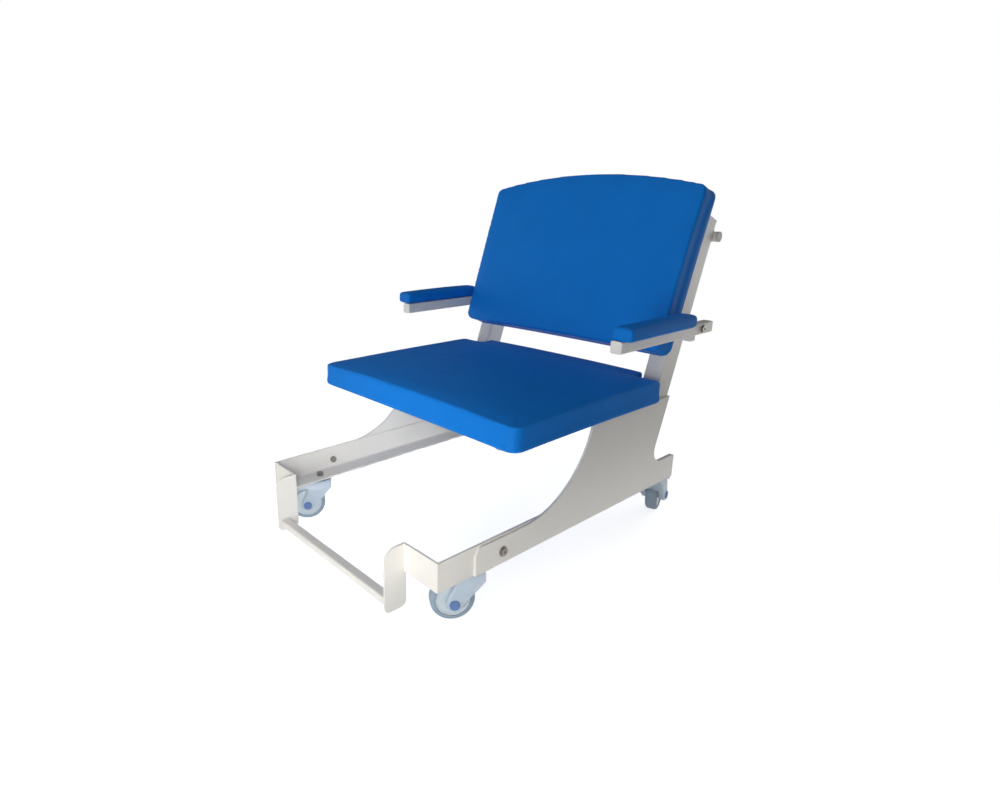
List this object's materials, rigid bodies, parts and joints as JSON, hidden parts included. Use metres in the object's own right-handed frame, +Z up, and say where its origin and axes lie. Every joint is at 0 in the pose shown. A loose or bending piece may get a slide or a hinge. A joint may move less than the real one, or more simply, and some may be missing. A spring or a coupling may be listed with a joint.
{
  "type": "transfer chair",
  "caption": "Wide padded transfer chair on swivel casters: leaning backrest with a rear push bar, lift-up armrests, arched side plates and a low foot bar at the front.",
  "frame": {"origin": "on the floor, under the middle of the chair's overall box", "axes": "+X towards the armrest on the right as seen from the front, +Y from the front to the back, +Z up"},
  "size_m": [0.856, 1.1042, 0.9956],
  "materials": {
    "white_powder_coat": "satin powder coat",
    "blue_vinyl": "smooth wipe-clean coated fabric",
    "white_plastic": "moulded, satin",
    "grey_plastic": "moulded, matt",
    "zinc_steel": "zinc plated",
    "caster_grey": "moulded nylon",
    "wheel_grey": "moulded nylon",
    "caster_tyre": "grey non-marking rubber",
    "cap_blue": "moulded, satin"
  },
  "bodies": {
    "frame": {"side_plate_right": "white_powder_coat", "side_plate_left": "white_powder_coat", "lower_rail_right": "white_powder_coat", "lower_rail_left": "white_powder_coat", "foot_bracket_right": "white_powder_coat", "foot_bracket_left": "white_powder_coat", "back_upright_right": "white_powder_coat", "back_upright_left": "white_powder_coat", "foot_bar": "white_powder_coat", "cross_tube_front": "white_powder_coat", "cross_tube_rear": "white_powder_coat", "back_rails": "white_powder_coat", "push_bar": "white_powder_coat", "push_bar_saddles": "white_powder_coat", "arm_stops": "white_powder_coat", "seat_cushion": "blue_vinyl", "back_cushion": "blue_vinyl", "back_board": "blue_vinyl", "seat_board": "blue_vinyl", "upright_caps": "white_plastic", "push_bar_caps": "grey_plastic", "arm_bushes": "grey_plastic", "arm_bolts": "zinc_steel", "rail_bolts": "zinc_steel", "rail_nuts": "zinc_steel", "stem_nuts": "zinc_steel", "caster_stem_front_right": "zinc_steel", "caster_stem_front_left": "zinc_steel", "caster_stem_rear_right": "zinc_steel", "caster_stem_rear_left": "zinc_steel"},
    "arm_right": {"arm_tube_right": "white_powder_coat", "arm_pad_right": "blue_vinyl", "arm_plugs_right": "white_plastic"},
    "arm_left": {"arm_tube_left": "white_powder_coat", "arm_pad_left": "blue_vinyl", "arm_plugs_left": "white_plastic"},
    "caster_front_right": {"fork_front_right": "caster_grey", "axle_front_right": "zinc_steel", "axle_caps_front_right": "cap_blue"},
    "wheel_front_right": {"wheel_hub_front_right": "wheel_grey", "tyre_front_right": "caster_tyre"},
    "pedal_front_right": {"brake_pedal_front_right": "caster_grey"},
    "caster_front_left": {"fork_front_left": "caster_grey", "axle_front_left": "zinc_steel", "axle_caps_front_left": "cap_blue"},
    "wheel_front_left": {"wheel_hub_front_left": "wheel_grey", "tyre_front_left": "caster_tyre"},
    "pedal_front_left": {"brake_pedal_front_left": "caster_grey"},
    "caster_rear_right": {"fork_rear_right": "caster_grey", "axle_rear_right": "zinc_steel", "axle_caps_rear_right": "cap_blue"},
    "wheel_rear_right": {"wheel_hub_rear_right": "wheel_grey", "tyre_rear_right": "caster_tyre"},
    "pedal_rear_right": {"brake_pedal_rear_right": "caster_grey"},
    "caster_rear_left": {"fork_rear_left": "caster_grey", "axle_rear_left": "zinc_steel", "axle_caps_rear_left": "cap_blue"},
    "wheel_rear_left": {"wheel_hub_rear_left": "wheel_grey", "tyre_rear_left": "caster_tyre"},
    "pedal_rear_left": {"brake_pedal_rear_left": "caster_grey"}
  },
  "joints": [
    {"name": "arm_right_lift", "type": "hinge", "parent": "frame", "child": "arm_right", "pos_m": [0.388, 0.4133, 0.582], "axis": [-1, 0, 0], "range_deg": [0, 100]},
    {"name": "arm_left_lift", "type": "hinge", "parent": "frame", "child": "arm_left", "pos_m": [-0.388, 0.4133, 0.582], "axis": [-1, 0, 0], "range_deg": [0, 100]},
    {"name": "front_right_swivel", "type": "hinge", "parent": "frame", "child": "caster_front_right", "pos_m": [0.316, -0.3691, 0.127], "axis": [0, 0, 1], "continuous": true},
    {"name": "front_right_roll", "type": "hinge", "parent": "caster_front_right", "child": "wheel_front_right", "pos_m": [0.2948, -0.40302, 0.052], "axis": [-0.848, 0.5299, 0], "continuous": true},
    {"name": "front_right_brake", "type": "hinge", "parent": "caster_front_right", "child": "pedal_front_right", "pos_m": [0.2948, -0.40302, 0.1165], "axis": [0.848, -0.5299, 0], "range_deg": [0, 8]},
    {"name": "front_left_swivel", "type": "hinge", "parent": "frame", "child": "caster_front_left", "pos_m": [-0.316, -0.3691, 0.127], "axis": [0, 0, 1], "continuous": true},
    {"name": "front_left_roll", "type": "hinge", "parent": "caster_front_left", "child": "wheel_front_left", "pos_m": [-0.336, -0.40374, 0.052], "axis": [-0.866, 0.5, 0], "continuous": true},
    {"name": "front_left_brake", "type": "hinge", "parent": "caster_front_left", "child": "pedal_front_left", "pos_m": [-0.336, -0.40374, 0.1165], "axis": [0.866, -0.5, 0], "range_deg": [0, 8]},
    {"name": "rear_right_swivel", "type": "hinge", "parent": "frame", "child": "caster_rear_right", "pos_m": [0.316, 0.40791, 0.127], "axis": [0, 0, 1], "continuous": true},
    {"name": "rear_right_roll", "type": "hinge", "parent": "caster_rear_right", "child": "wheel_rear_right", "pos_m": [0.30364, 0.44595, 0.052], "axis": [0.9511, 0.309, 0], "continuous": true},
    {"name": "rear_right_brake", "type": "hinge", "parent": "caster_rear_right", "child": "pedal_rear_right", "pos_m": [0.30364, 0.44595, 0.1165], "axis": [-0.9511, -0.309, 0], "range_deg": [0, 8]},
    {"name": "rear_left_swivel", "type": "hinge", "parent": "frame", "child": "caster_rear_left", "pos_m": [-0.316, 0.40791, 0.127], "axis": [0, 0, 1], "continuous": true},
    {"name": "rear_left_roll", "type": "hinge", "parent": "caster_rear_left", "child": "wheel_rear_left", "pos_m": [-0.32568, 0.44672, 0.052], "axis": [0.9703, 0.2419, 0], "continuous": true},
    {"name": "rear_left_brake", "type": "hinge", "parent": "caster_rear_left", "child": "pedal_rear_left", "pos_m": [-0.32568, 0.44672, 0.1165], "axis": [-0.9703, -0.2419, 0], "range_deg": [0, 8]}
  ]
}
